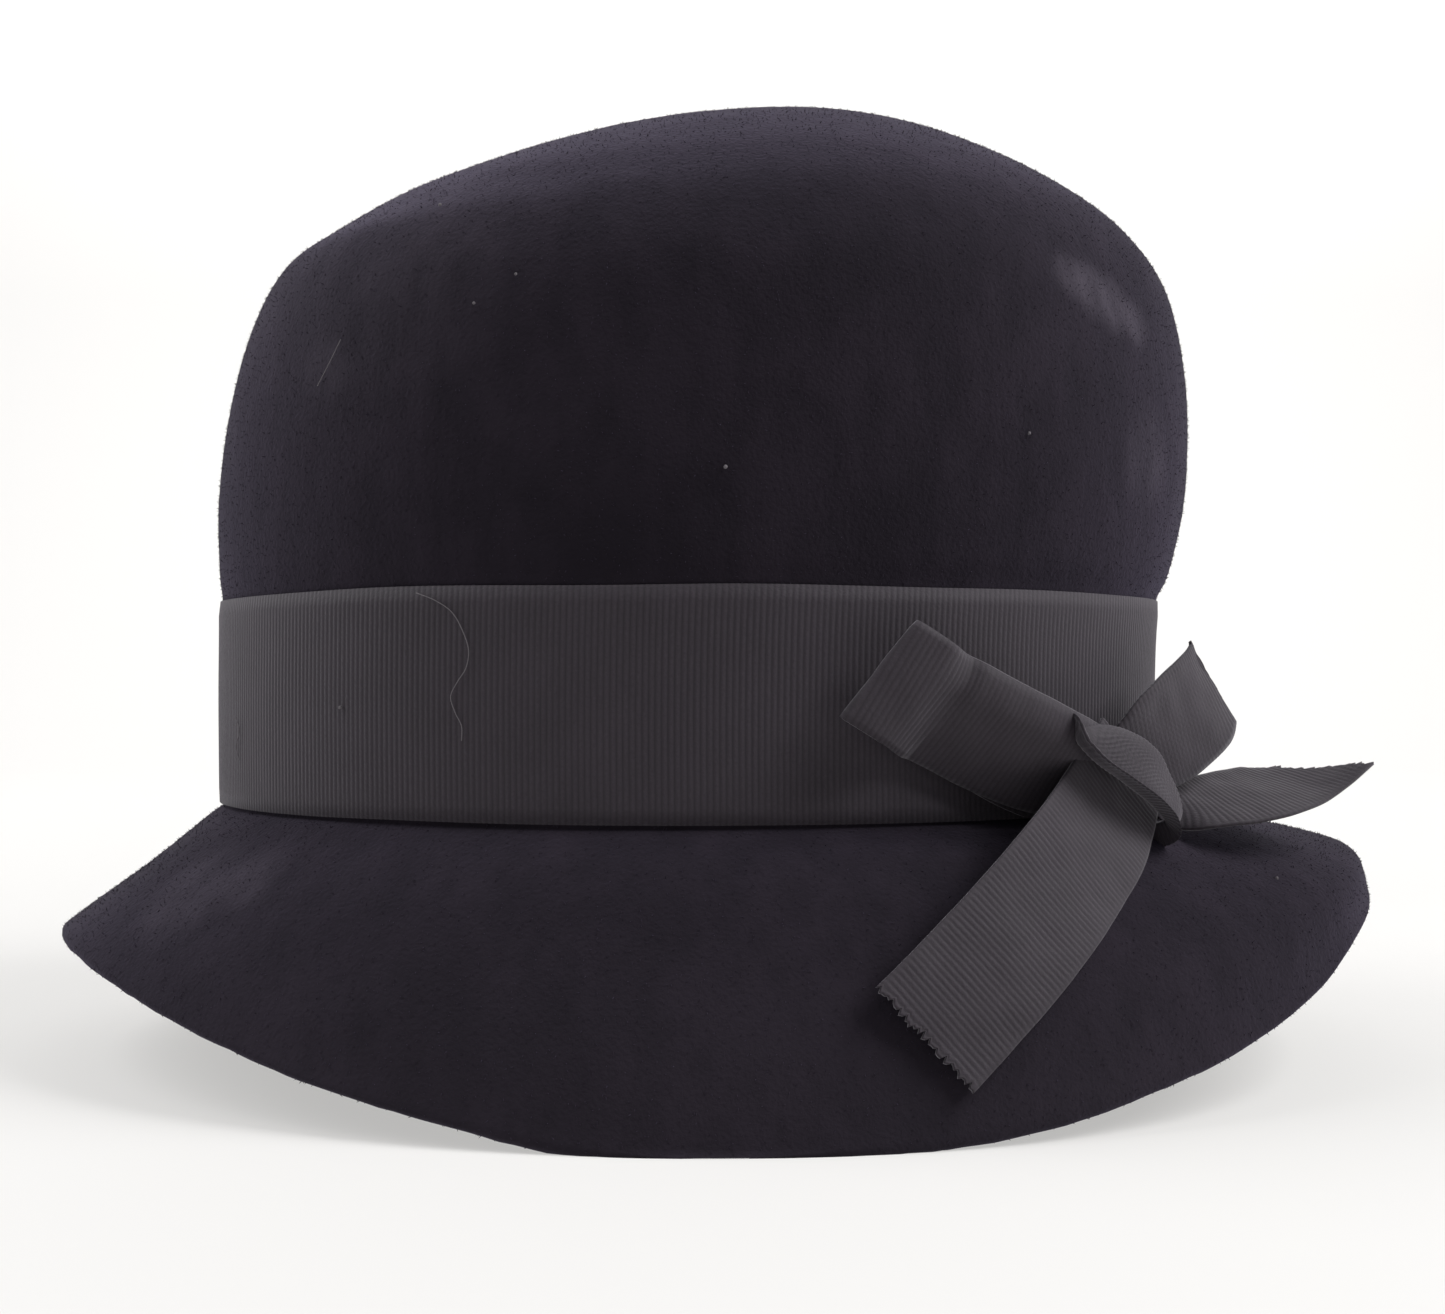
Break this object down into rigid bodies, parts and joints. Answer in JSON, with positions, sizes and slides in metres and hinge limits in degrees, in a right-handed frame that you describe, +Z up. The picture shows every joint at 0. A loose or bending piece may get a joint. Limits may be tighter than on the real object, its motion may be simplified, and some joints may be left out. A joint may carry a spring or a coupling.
{
  "type": "velour hat",
  "caption": "Domed felt hat with a turned-down brim, hollow for the head, a wide ribbed ribbon band round the crown and a tied ribbon bow with two loops and two frayed tails on one side",
  "frame": {"origin": "on the surface that the hat rests on, under the middle of the brim", "axes": "+X from the front of the hat to its back, +Y to the wearer's right, +Z up through the crown"},
  "size_m": [0.2594, 0.213, 0.184],
  "materials": {
    "felt": "deep blue-black velour felt with a short raised nap",
    "ribbon": "charcoal grosgrain ribbon with fine cross ribs, matt"
  },
  "bodies": {
    "root": {"felt_body": "felt", "hatband": "ribbon", "bow_loop_front": "ribbon", "bow_loop_back": "ribbon", "bow_tail_front": "ribbon", "bow_tail_back": "ribbon", "bow_knot": "ribbon"}
  },
  "joints": []
}
